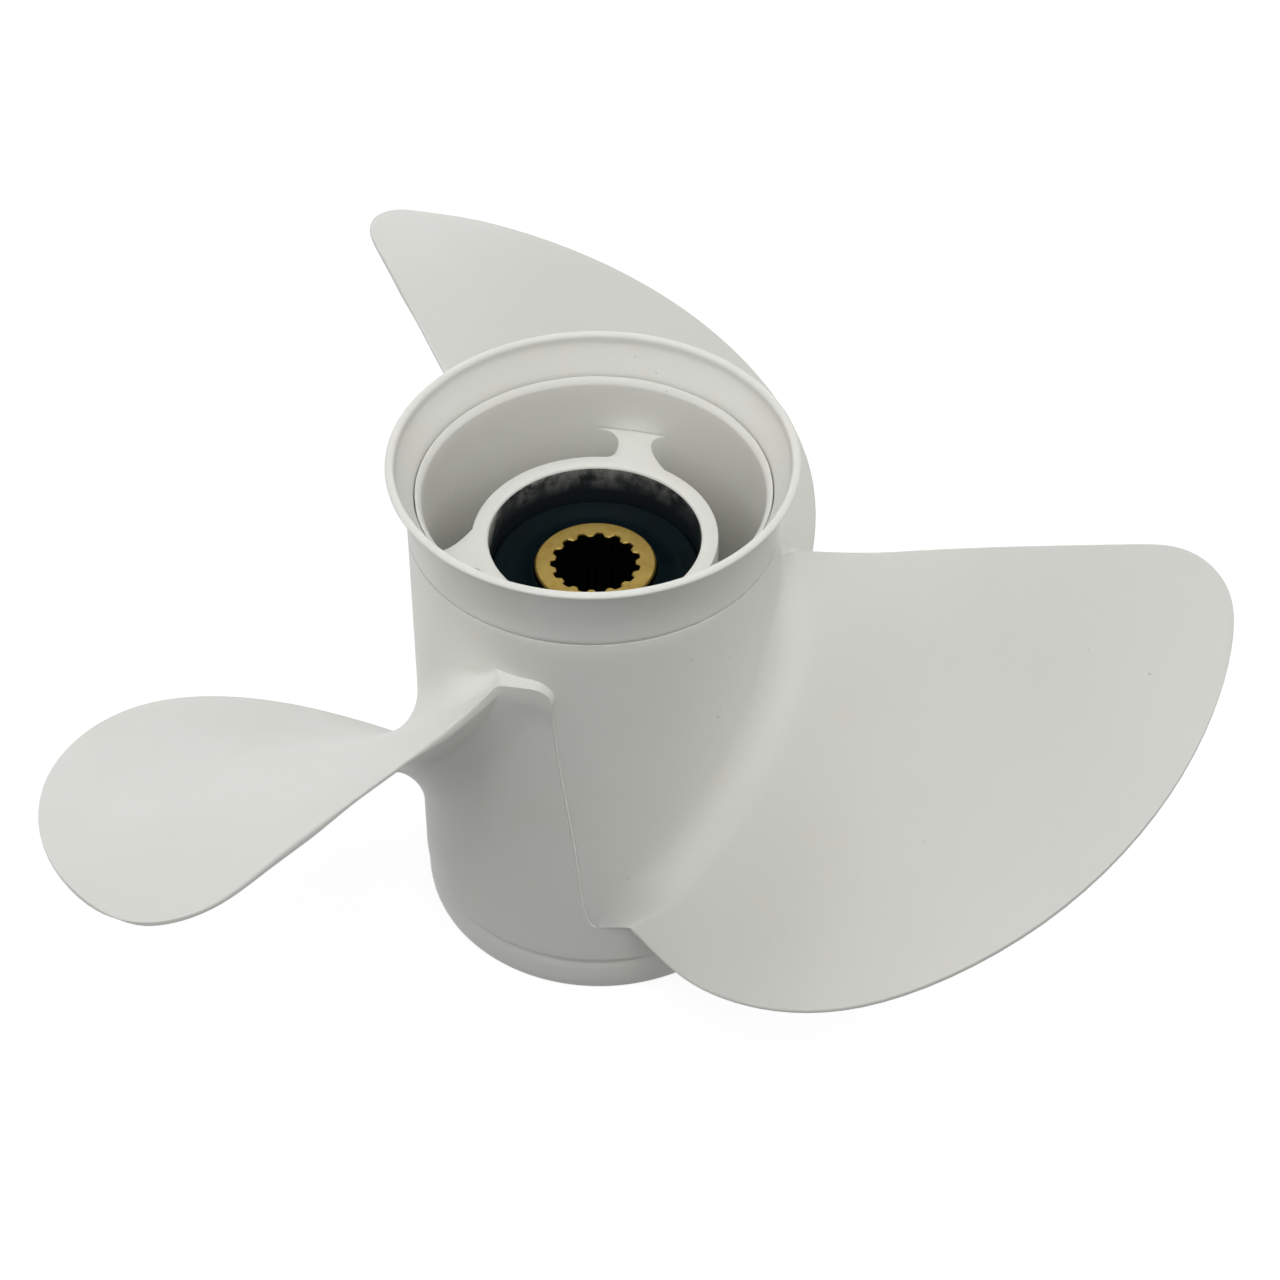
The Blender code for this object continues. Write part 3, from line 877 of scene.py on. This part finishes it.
def make_diffuser_ring(paint):
    """A bell with a rolled lip; its socket slips over the casting's spigot."""
    seam = SEAM_HEIGHT + HALF_SEAM
    foot = seam + SEAM_ROUND
    sweep = math.degrees(math.asin((FLARE_TOP - foot) / FLARE_ARC))
    flare_centre = BARREL_AFT_RADIUS + 0.02 + FLARE_ARC
    profile = [
        (52.35, 155.6), (52.4, 156.5), (52.5, 157.1), (52.72, 157.5), (53.05, 157.72),
        (53.5, RIM_HEIGHT), (54.0, 157.78), (54.4, 157.68), (54.7, 157.48), (54.86, 157.25),
        (RIM_RADIUS, 157.02), (54.86, 156.8), (54.74, 156.6), (54.58, 156.46), (54.4, 156.36),
    ]
    profile += arc_points(flare_centre, foot, FLARE_ARC, 180.0 - sweep, 180.0, 16)
    profile += [(50.27, seam + 0.04), (50.1, seam), (48.3, seam), (48.0, seam + 0.3)]
    profile += [(48.0, 146.9), (48.1, 147.6), (48.4, 148.4), (49.3, 149.8)]
    profile += [(50.4, 151.6), (51.4, 153.4), (52.1, 154.8)]
    ring = turned("diffuser_ring_painted", profile, paint, segments=192)
    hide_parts("diffuser_ring")


def make_bush(rubber):
    """The rubber cushion: a dished aft face with a shallow moulded step."""
    outer = HUB_BORE - 0.3
    inner = SLEEVE_RADIUS + 0.3
    profile = [
        (outer, BUSH_FRONT), (outer, BUSH_AFT - 1.6), (outer - 0.2, BUSH_AFT - 0.95),
        (outer - 0.8, BUSH_AFT - 0.7), (outer - 2.0, BUSH_AFT - 1.15),
        (outer - 3.2, BUSH_AFT - 1.75), (outer - 3.7, BUSH_AFT - 2.15),
        (outer - 4.2, BUSH_AFT - 2.75), (outer - 4.9, BUSH_AFT - 3.0),
        (outer - 6.6, BUSH_AFT - 2.95), (inner + 3.6, BUSH_AFT - 2.5),
        (inner + 2.0, BUSH_AFT - 1.7), (inner + 0.9, BUSH_AFT - 0.75),
        (inner + 0.35, BUSH_AFT - 0.2), (inner, BUSH_AFT - 0.1), (inner, BUSH_FRONT),
    ]
    bush = turned("cushion_bush_moulded", profile[::-1], rubber, segments=128)
    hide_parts("cushion_bush")


def spline_loop(grow):
    """The bore's outline with rounded tooth corners, opened out by grow."""
    points = []
    step = TAU / SPLINE_TEETH
    half = step * SPLINE_TOOTH_SHARE / 2
    crest = SPLINE_MINOR + grow
    root = SPLINE_MAJOR + grow * 0.6
    trim = grow / crest
    for tooth in range(SPLINE_TEETH):
        centre = tooth * step
        plan = (
            (root, -half - 0.052 + trim),
            (root - 0.12, -half - 0.032 + trim),
            (crest + 0.2, -half + 0.022 + trim),
            (crest + 0.04, -half + 0.032 + trim),
            (crest, -half + 0.05 + trim),
            (crest, 0.0),
            (crest, half - 0.05 - trim),
            (crest + 0.04, half - 0.032 - trim),
            (crest + 0.2, half - 0.022 - trim),
            (root - 0.12, half + 0.032 - trim),
            (root, half + 0.052 - trim),
        )
        points += [at(radius, centre + angle, 0.0) for radius, angle in plan]
        points.append(at(root, centre + step / 2, 0.0))
    return np.array(points)


def lifted(loop, z):
    moved = loop.copy()
    moved[:, 2] = z
    return moved


def make_sleeve(brass):
    """The brass sleeve: a splined bore, and an outside with small chamfers."""
    skin = Skin()
    bore = spline_loop(0.0)
    opened = spline_loop(0.25)
    rows = [
        lifted(opened, SLEEVE_AFT),
        lifted(bore, SLEEVE_AFT - 0.3),
        lifted(bore, SLEEVE_AFT - 20.0),
        lifted(bore, SLEEVE_FRONT + 20.0),
        lifted(bore, SLEEVE_FRONT + 0.3),
        lifted(opened, SLEEVE_FRONT),
    ]
    skin.grid(rows, closed=True)
    profile = (
        (SLEEVE_RADIUS - 0.75, SLEEVE_AFT),
        (SLEEVE_RADIUS - 0.6, SLEEVE_AFT - 0.03),
        (SLEEVE_RADIUS - 0.08, SLEEVE_AFT - 0.52),
        (SLEEVE_RADIUS, SLEEVE_AFT - 0.65),
        (SLEEVE_RADIUS, SLEEVE_FRONT + 0.65),
        (SLEEVE_RADIUS - 0.6, SLEEVE_FRONT + 0.03),
        (SLEEVE_RADIUS - 0.75, SLEEVE_FRONT),
    )
    outside = circles(np.linspace(0.0, TAU, 120, endpoint=False), profile)
    skin.grid(outside, closed=True)
    skin.zip_loops(rows[0], outside[0])
    skin.zip_loops(rows[-1], outside[-1])
    sleeve = skin.make("splined_sleeve_machined", [brass], "hub_sleeve", 30.0)
    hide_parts("splined_sleeve")


# ---- materials


class Look:
    """A material under construction: short calls that add and link its nodes."""

    def __init__(self, name):
        self.material = bpy.data.materials.new(name)
        self.material.use_nodes = True
        self.nodes = self.material.node_tree.nodes
        self.links = self.material.node_tree.links
        self.shader = self.nodes["Principled BSDF"]
        self.place = self.add("ShaderNodeTexCoord").outputs["Object"]

    def add(self, kind, **settings):
        node = self.nodes.new(kind)
        for key, value in settings.items():
            setattr(node, key, value)
        return node

    def join(self, socket, value):
        if isinstance(value, bpy.types.NodeSocket):
            self.links.new(value, socket)
        else:
            socket.default_value = value

    def feed(self, node, **values):
        """Links or sets a node's inputs; an underscore stands for a space in a name."""
        for key, value in values.items():
            self.join(node.inputs[key.replace("_", " ")], value)

    def noise(self, scale, detail=3.0, rough=0.5, where=None):
        node = self.add("ShaderNodeTexNoise")
        where = self.place if where is None else where
        self.feed(node, Vector=where, Scale=scale, Detail=detail, Roughness=rough)
        return node.outputs["Fac"]

    def ranged(self, value, low, high, to_low=0.0, to_high=1.0):
        node = self.add("ShaderNodeMapRange", clamp=True)
        self.feed(node, Value=value, From_Min=low, From_Max=high, To_Min=to_low, To_Max=to_high)
        return node.outputs["Result"]

    def math(self, operation, one, other=0.0):
        node = self.add("ShaderNodeMath", operation=operation)
        self.join(node.inputs[0], one)
        self.join(node.inputs[1], other)
        return node.outputs[0]

    def mix(self, share, one, other):
        node = self.add("ShaderNodeMix", data_type="RGBA")
        self.feed(node, Factor=share, A=one, B=other)
        return node.outputs["Result"]

    def bump(self, height, distance, strength=1.0, under=None):
        node = self.add("ShaderNodeBump")
        self.feed(node, Height=height, Distance=distance, Strength=strength)
        if under is not None:
            self.feed(node, Normal=under)
        return node.outputs["Normal"]

    def split(self):
        node = self.add("ShaderNodeSeparateXYZ")
        self.feed(node, Vector=self.place)
        return node.outputs

    def finish(self, **values):
        self.feed(self.shader, **values)
        return self.material


def rgba(red, green, blue):
    return (red, green, blue, 1.0)


PAINT_TINT = (0.8, 0.802, 0.757)


def paint_look():
    """Sprayed satin paint: soft orange peel, faint clouding, tiny specks of dust."""
    look = Look("off_white_satin")
    clouds = look.noise(14.0, 2.0)
    red, green, blue = PAINT_TINT
    dull = rgba(red * 0.965, green * 0.965, blue * 0.965)
    body = look.mix(look.ranged(clouds, 0.35, 0.65), rgba(*PAINT_TINT), dull)
    blotches = look.noise(55.0, 3.0)
    warm = rgba(red, green * 0.985, blue * 0.955)
    body = look.mix(look.ranged(blotches, 0.5, 0.75, 0.0, 0.5), body, warm)
    specks = look.noise(620.0, 1.0)
    rare = look.noise(90.0, 0.0)
    dust = look.math("MULTIPLY", look.ranged(specks, 0.76, 0.82), look.ranged(rare, 0.58, 0.66))
    body = look.mix(look.math("MULTIPLY", dust, 0.45), body, rgba(0.3, 0.3, 0.28))
    peel = look.noise(420.0, 2.0, 0.45)
    waves = look.noise(60.0, 2.0)
    normal = look.bump(waves, 0.0003, 0.35)
    normal = look.bump(peel, 0.00006, 0.35, normal)
    rough = look.ranged(look.noise(35.0, 3.0), 0.3, 0.7, 0.36, 0.46)
    return look.finish(Base_Color=body, Roughness=rough, Normal=normal, IOR=1.5)


def bare_bore_look():
    """The hub's unpainted bore: dark rubber residue with pale, dusty scuffs at the mouth."""
    look = Look("dusty_bore")
    x, _, z = look.split()
    mouth = look.ranged(z, 0.1215, 0.1292)
    mouth = look.math("MULTIPLY", mouth, look.ranged(x, -0.022, 0.02, 1.0, 0.45))
    dusty = look.noise(130.0, 6.0, 0.7)
    streaks = look.add("ShaderNodeMapping")
    look.feed(streaks, Vector=look.place)
    streaks.inputs["Scale"].default_value = (1.0, 1.0, 0.35)
    fibres = look.noise(260.0, 5.0, 0.65, streaks.outputs["Vector"])
    patch = look.noise(38.0, 3.0)
    scuff = look.math("MULTIPLY", look.ranged(dusty, 0.38, 0.56), look.ranged(patch, 0.36, 0.52))
    scuff = look.math("MULTIPLY", scuff, look.ranged(fibres, 0.3, 0.55, 0.5, 1.0))
    scuff = look.math("MULTIPLY", scuff, mouth)
    colour = look.mix(scuff, rgba(0.007, 0.0125, 0.0165), rgba(0.42, 0.425, 0.40))
    normal = look.bump(dusty, 0.0003, 0.4)
    rough = look.ranged(scuff, 0.0, 1.0, 0.5, 0.85)
    return look.finish(Base_Color=colour, Roughness=rough, Normal=normal)


def rubber_look():
    """Moulded black rubber with a faint green-blue cast and a dry bloom."""
    look = Look("moulded_rubber")
    bloom = look.noise(85.0, 5.0, 0.6)
    grain = look.noise(900.0, 3.0)
    dark, bloomed = rgba(0.0006, 0.0055, 0.0075), rgba(0.001, 0.009, 0.0115)
    colour = look.mix(look.ranged(bloom, 0.4, 0.75), dark, bloomed)
    normal = look.bump(bloom, 0.0004, 0.35)
    normal = look.bump(grain, 0.00008, 0.5, normal)
    rough = look.ranged(bloom, 0.35, 0.7, 0.55, 0.75)
    return look.finish(Base_Color=colour, Roughness=rough, Normal=normal, Specular_IOR_Level=0.12)


RING_PITCH = 0.00028  # between the turning rings, m


def brass_look():
    """Machined brass: fine turning rings, light tarnish, and painted shade that turns the bore
    near black.
    """
    look = Look("machined_brass")
    x, y, z = look.split()
    squares = [look.math("MULTIPLY", side, side) for side in (x, y)]
    across = look.math("SQRT", look.math("ADD", *squares))
    rings = look.math("SINE", look.math("MULTIPLY", across, TAU / RING_PITCH))
    tarnish = look.noise(240.0, 4.0, 0.6)
    bright, dull = rgba(0.6, 0.43, 0.125), rgba(0.48, 0.335, 0.09)
    colour = look.mix(look.ranged(tarnish, 0.35, 0.7), bright, dull)
    # painted shade: below the aft face, down the splined bore, the colour is mixed to near black
    mouth = look.ranged(z, 0.11945, 0.1200)
    colour = look.mix(mouth, rgba(0.008, 0.007, 0.005), colour)
    face = look.ranged(z, 0.1196, 0.1201)
    height = look.math("MULTIPLY", rings, face)
    normal = look.bump(height, 0.00002, 0.5)
    normal = look.bump(tarnish, 0.00005, 0.3, normal)
    rough = look.ranged(tarnish, 0.3, 0.7, 0.42, 0.58)
    return look.finish(Base_Color=colour, Metallic=1.0, Roughness=rough, Normal=normal)


# ---- stage


FLOOR_GLOW = 0.86
WALL_GLOW = 1.0
STUDIO_RADIUS = 20.0
STUDIO_HEIGHT = 12.0
STUDIO_SIDES = 48
FLOOR_DROP = 0.0002  # below the propeller's foot, so that the two don't flicker


def stage_look(name, tint, glow):
    """A white surface that glows by itself, so that it stays evenly pale."""
    look = Look(name)
    colour = look.mix(look.noise(3.0, 2.0), rgba(tint, tint, tint), rgba(*[tint * 1.05] * 3))
    look.feed(look.shader, Emission_Color=rgba(1.0, 1.0, 1.0), Emission_Strength=glow)
    return look.finish(Base_Color=colour, Roughness=0.9, Specular_IOR_Level=0.0)


def stage_object(name, points, faces, look):
    """Part of the studio: it shows, but the soft boxes and the sky light the propeller alone."""
    mesh = bpy.data.meshes.new(name)
    mesh.from_pydata(points, [], faces)
    mesh.materials.append(look)
    obj = new_object(name, mesh)
    obj.visible_diffuse = False
    obj.visible_shadow = False


def make_studio():
    """A round floor inside a round wall."""
    sides = range(STUDIO_SIDES)
    plan = [at(STUDIO_RADIUS, TAU * k / STUDIO_SIDES, 0.0) for k in sides]
    ring = [(x, y, -FLOOR_DROP) for x, y, _ in plan]
    top = [(x, y, STUDIO_HEIGHT) for x, y, _ in plan]
    floor_look = stage_look("pale_floor", 0.28, FLOOR_GLOW)
    stage_object("studio_floor", ring, [tuple(sides)], floor_look)
    after = [(k + 1) % STUDIO_SIDES for k in sides]
    walls = [(k, after[k], STUDIO_SIDES + after[k], STUDIO_SIDES + k) for k in sides]
    stage_object("studio_wall", ring + top, walls, stage_look("pale_wall", 0.1, WALL_GLOW))


def aimed_light(data, place, target):
    """A light at a place, pointing at a target."""
    light = new_object(data.name, data)
    light.location = place
    light.rotation_euler = (target - place).to_track_quat("-Z", "Y").to_euler()
    return light


SKY_LEVEL = 0.07  # all round
SKY_OVERHEAD = 0.8  # added straight overhead, fading to none at the horizon
SOFT_BOX = 1.4  # side, m
SOFT_BOX_DISTANCE = 2.1
LIT_MIDDLE = Vector((0.0, 0.0, 0.08))

# The snoot: a narrow light from overhead into the ring and the hub
SNOOT_WATTS = 20.0
SNOOT_CONE = 7.0  # degrees
SNOOT_SIZE = 0.09
SNOOT_PLACE = Vector((0.0, -0.3, 1.05))
SNOOT_TARGET = Vector((0.0, 0.0, 0.135))

# Soft boxes: name, azimuth and elevation in degrees, watts
SOFT_BOXES = (
    ("front_high", -90.0, 55.0, 8.6),
    ("left", 180.0, 15.0, 7.2),
    ("right", 0.0, 15.0, 3.5),
    ("behind", 90.0, 15.0, 5.8),
)


def make_snoot():
    snoot = bpy.data.lights.new("snoot", "SPOT")
    snoot.energy = SNOOT_WATTS
    snoot.spot_size = math.radians(SNOOT_CONE)
    snoot.spot_blend = 1.0
    snoot.shadow_soft_size = SNOOT_SIZE
    aimed_light(snoot, SNOOT_PLACE, SNOOT_TARGET)


def make_soft_box(name, azimuth, elevation, watts):
    box = bpy.data.lights.new(name, "AREA")
    box.size = SOFT_BOX
    box.energy = watts
    up = math.radians(elevation)
    away = Vector(at(math.cos(up), math.radians(azimuth), math.sin(up)))
    light = aimed_light(box, LIT_MIDDLE + away * SOFT_BOX_DISTANCE, LIT_MIDDLE)
    light.visible_camera = False


def make_world():
    """A plain studio, brightest overhead."""
    world = bpy.data.worlds.new("studio")
    world.use_nodes = True
    nodes = world.node_tree.nodes
    links = world.node_tree.links
    place = nodes.new("ShaderNodeTexCoord")
    parts = nodes.new("ShaderNodeSeparateXYZ")
    sky = nodes.new("ShaderNodeMapRange")
    sky.inputs["To Min"].default_value = SKY_LEVEL
    sky.inputs["To Max"].default_value = SKY_LEVEL + SKY_OVERHEAD
    background = nodes["Background"]
    background.inputs["Color"].default_value = rgba(1.0, 1.0, 1.0)
    links.new(place.outputs["Generated"], parts.inputs[0])
    links.new(parts.outputs["Z"], sky.inputs["Value"])
    links.new(sky.outputs["Result"], background.inputs["Strength"])
    bpy.context.scene.world = world


# The camera stands in front, well above the rim. It is first aimed at a point on the
# axis and then panned, tilted and rolled a little. Angles in degrees, lens in mm.
CAMERA_ELEVATION = 39.51
CAMERA_DISTANCE = 0.6984
CAMERA_AIM = Vector((0.0, 0.0, 0.1594))
CAMERA_PAN = -0.93
CAMERA_TILT = -4.10
CAMERA_ROLL = 1.16
CAMERA_LENS = 74.503125
CAMERA_SENSOR = 36.0


def turned_about(axis, degrees, *vectors):
    turn = Matrix.Rotation(math.radians(degrees), 3, axis)
    return [turn @ vector for vector in vectors]


def make_camera():
    elevation = math.radians(CAMERA_ELEVATION)
    away = Vector((0.0, -math.cos(elevation), math.sin(elevation)))
    place = CAMERA_AIM + away * CAMERA_DISTANCE
    forward = (CAMERA_AIM - place).normalized()
    right = Vector((1.0, 0.0, 0.0))
    up = right.cross(forward)
    forward, right = turned_about(up, CAMERA_PAN, forward, right)
    forward, up = turned_about(right, CAMERA_TILT, forward, up)
    right, up = turned_about(forward, CAMERA_ROLL, right, up)
    data = bpy.data.cameras.new("camera")
    data.sensor_width = CAMERA_SENSOR
    data.lens = CAMERA_LENS
    data.clip_start = 0.01
    camera = new_object("camera", data)
    turn = Matrix((right, up, -forward)).transposed()
    camera.matrix_world = Matrix.Translation(place) @ turn.to_4x4()
    bpy.context.scene.camera = camera


def main():
    paint = paint_look()
    make_casting(paint, bare_bore_look())
    make_diffuser_ring(paint)
    make_bush(rubber_look())
    make_sleeve(brass_look())
    make_studio()
    make_world()
    make_snoot()
    for soft_box in SOFT_BOXES:
        make_soft_box(*soft_box)
    make_camera()
    bpy.context.scene.view_settings.view_transform = "Standard"
    bpy.context.scene.view_settings.look = "None"


main()


def plain(box):
    return [[float(number) for number in corner] for corner in box]
